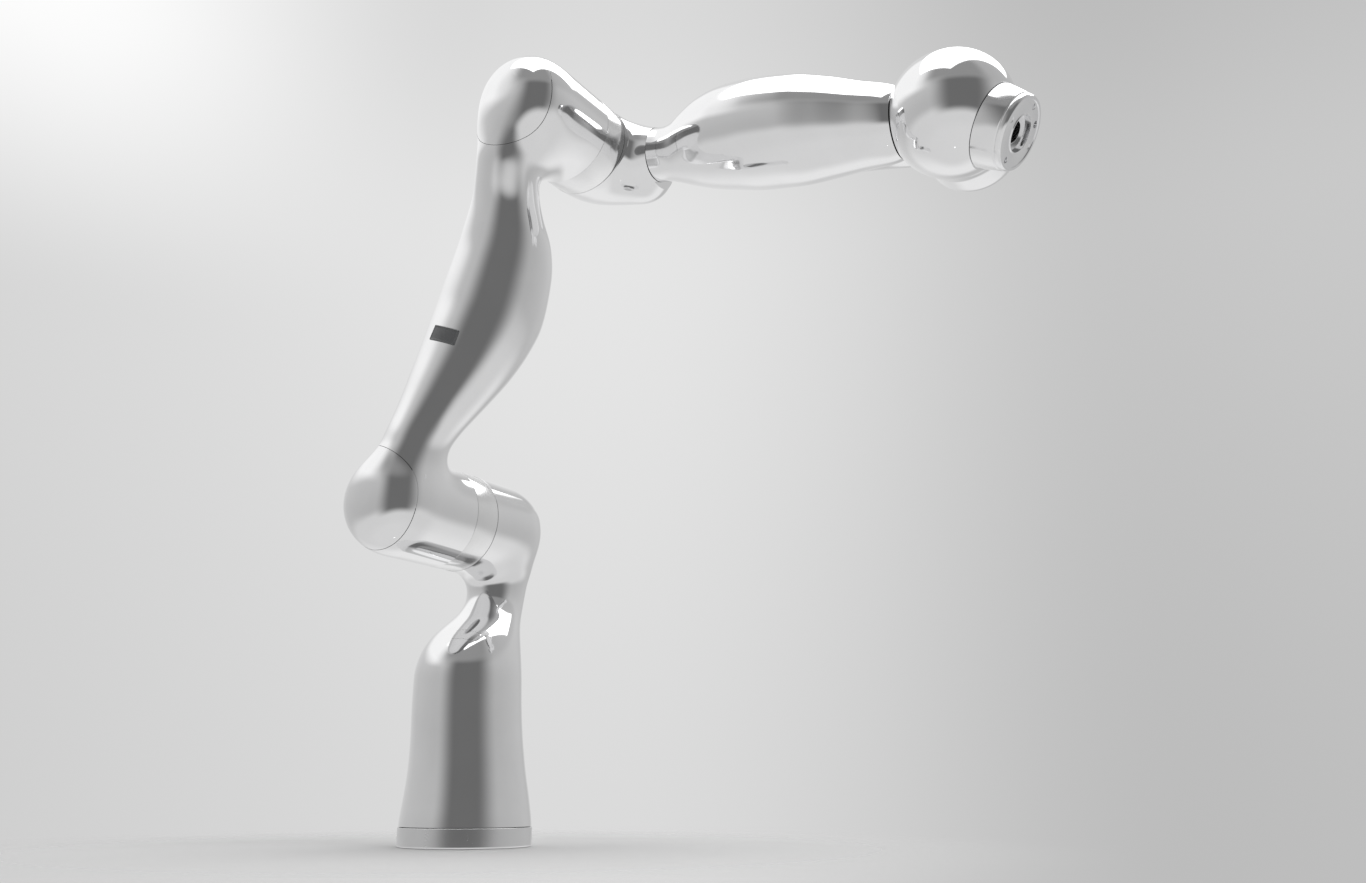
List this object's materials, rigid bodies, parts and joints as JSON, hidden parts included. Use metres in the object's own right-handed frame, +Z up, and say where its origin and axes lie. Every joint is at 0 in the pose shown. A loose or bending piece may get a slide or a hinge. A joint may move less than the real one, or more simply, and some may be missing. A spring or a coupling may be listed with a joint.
{
  "type": "collaborative robot arm",
  "caption": "Slim six-axis collaborative robot arm with smooth mirror-polished shells, offset round joint heads and a plain tool flange, standing on a round foot",
  "frame": {"origin": "centre of the foot's underside, on the first joint's axis", "axes": "+Z up along the first joint's axis, +X the way the arm reaches at rest, -Y the side of the two round covers; the second, third and fifth joint axes lie along Y"},
  "size_m": [0.6478, 0.245, 0.7135],
  "materials": {
    "polished_shell": "cast aluminium shell polished and plated to a mirror",
    "polished_cover": "pressed aluminium cover polished and plated to a mirror",
    "polished_foot": "turned foot, bright satin",
    "satin_ring": "satin band with a fine turned grain",
    "machined_flange": "polished machined flange",
    "winding": "copper winding on laminations, dull",
    "rotor_steel": "ground steel",
    "gear_steel": "hardened steel, oiled",
    "bearing_steel": "ground bearing steel",
    "drive_aluminium": "machined, satin",
    "circuit_board": "green solder mask",
    "bolt_steel": "zinc-plated steel",
    "connector_plastic": "black moulded plastic",
    "plate": "blank dark plate, satin, no marking"
  },
  "bodies": {
    "base": {"base_foot": "polished_foot", "base_bolt_1": "bolt_steel", "base_bolt_2": "bolt_steel", "base_bolt_3": "bolt_steel", "base_bolt_4": "bolt_steel", "base_power_connector": "connector_plastic", "base_network_connector": "connector_plastic", "joint_1_drive_housing": "drive_aluminium", "joint_1_motor_stator": "winding", "joint_1_strain_wave_gear": "gear_steel", "joint_1_output_bearing": "bearing_steel"},
    "column": {"column_shell": "polished_shell", "column_floor": "drive_aluminium", "column_servo_board": "circuit_board", "shoulder_joint_ring": "satin_ring", "joint_1_output_flange": "drive_aluminium", "joint_2_drive_housing": "drive_aluminium", "joint_2_motor_stator": "winding", "joint_2_strain_wave_gear": "gear_steel", "joint_2_output_bearing": "bearing_steel"},
    "upper_arm": {"upper_arm_shell": "polished_shell", "shoulder_cover": "polished_cover", "elbow_cover": "polished_cover", "upper_arm_servo_board": "circuit_board", "blank_name_plate": "plate", "joint_2_output_flange": "drive_aluminium", "joint_3_drive_housing": "drive_aluminium", "joint_3_motor_stator": "winding", "joint_3_strain_wave_gear": "gear_steel", "joint_3_output_bearing": "bearing_steel"},
    "elbow": {"elbow_joint_ring": "satin_ring", "elbow_shell": "polished_shell", "joint_3_output_flange": "drive_aluminium", "joint_4_drive_housing": "drive_aluminium", "joint_4_motor_stator": "winding", "joint_4_strain_wave_gear": "gear_steel", "joint_4_output_bearing": "bearing_steel"},
    "forearm": {"forearm_shell": "polished_shell", "forearm_servo_board": "circuit_board", "joint_4_output_flange": "drive_aluminium", "joint_5_drive_housing": "drive_aluminium", "joint_5_motor_stator": "winding", "joint_5_strain_wave_gear": "gear_steel", "joint_5_output_bearing": "bearing_steel"},
    "wrist": {"wrist_shell": "polished_shell", "joint_5_output_flange": "drive_aluminium", "joint_6_drive_housing": "drive_aluminium", "joint_6_motor_stator": "winding", "joint_6_strain_wave_gear": "gear_steel", "joint_6_output_bearing": "bearing_steel"},
    "tool": {"tool_flange": "machined_flange", "joint_6_output_flange": "drive_aluminium"},
    "rotor_1": {"joint_1_motor_rotor": "rotor_steel"},
    "rotor_2": {"joint_2_motor_rotor": "rotor_steel"},
    "rotor_3": {"joint_3_motor_rotor": "rotor_steel"},
    "rotor_4": {"joint_4_motor_rotor": "rotor_steel"},
    "rotor_5": {"joint_5_motor_rotor": "rotor_steel"},
    "rotor_6": {"joint_6_motor_rotor": "rotor_steel"}
  },
  "joints": [
    {"name": "joint_1_turntable", "type": "hinge", "parent": "base", "child": "column", "pos_m": [0, 0, 0.0173], "axis": [0, 0, 1], "range_deg": [-185, 185]},
    {"name": "joint_2_shoulder", "type": "hinge", "parent": "column", "child": "upper_arm", "pos_m": [0, -0.0597, 0.299], "axis": [0, 1, 0], "range_deg": [-160.5, 119.5]},
    {"name": "joint_3_elbow", "type": "hinge", "parent": "upper_arm", "child": "elbow", "pos_m": [0.137, -0.0597, 0.666], "axis": [0, -1, 0], "range_deg": [-71.9, 228.1]},
    {"name": "joint_4_forearm_roll", "type": "hinge", "parent": "elbow", "child": "forearm", "pos_m": [0.20622, 0, 0.65557], "axis": [0.9888, 0, -0.149], "range_deg": [-180, 180]},
    {"name": "joint_5_wrist", "type": "hinge", "parent": "forearm", "child": "wrist", "pos_m": [0.502, 0.0383, 0.611], "axis": [0, 1, 0], "range_deg": [-133.9, 86.1]},
    {"name": "joint_6_flange", "type": "hinge", "parent": "wrist", "child": "tool", "pos_m": [0.53658, 0, 0.58897], "axis": [0.8434, 0, -0.5373], "range_deg": [-220, 220]},
    {"name": "joint_1_rotor_spin", "type": "hinge", "parent": "base", "child": "rotor_1", "pos_m": [0, 0, 0.0173], "axis": [0, 0, 1], "range_deg": [-18501, 18501]},
    {"name": "joint_2_rotor_spin", "type": "hinge", "parent": "column", "child": "rotor_2", "pos_m": [0, -0.0597, 0.299], "axis": [0, 1, 0], "range_deg": [-11951, 16051]},
    {"name": "joint_3_rotor_spin", "type": "hinge", "parent": "upper_arm", "child": "rotor_3", "pos_m": [0.137, -0.0597, 0.666], "axis": [0, -1, 0], "range_deg": [-22811, 7191]},
    {"name": "joint_4_rotor_spin", "type": "hinge", "parent": "elbow", "child": "rotor_4", "pos_m": [0.20622, 0, 0.65557], "axis": [0.9888, 0, -0.149], "range_deg": [-18001, 18001]},
    {"name": "joint_5_rotor_spin", "type": "hinge", "parent": "forearm", "child": "rotor_5", "pos_m": [0.502, 0.0383, 0.611], "axis": [0, 1, 0], "range_deg": [-8611, 13391]},
    {"name": "joint_6_rotor_spin", "type": "hinge", "parent": "wrist", "child": "rotor_6", "pos_m": [0.53658, 0, 0.58897], "axis": [0.8434, 0, -0.5373], "range_deg": [-22001, 22001]}
  ],
  "couplings": [
    {"joint": "joint_1_rotor_spin", "follows": "joint_1_turntable", "ratio": -100},
    {"joint": "joint_2_rotor_spin", "follows": "joint_2_shoulder", "ratio": -100},
    {"joint": "joint_3_rotor_spin", "follows": "joint_3_elbow", "ratio": -100},
    {"joint": "joint_4_rotor_spin", "follows": "joint_4_forearm_roll", "ratio": -100},
    {"joint": "joint_5_rotor_spin", "follows": "joint_5_wrist", "ratio": -100},
    {"joint": "joint_6_rotor_spin", "follows": "joint_6_flange", "ratio": -100}
  ]
}
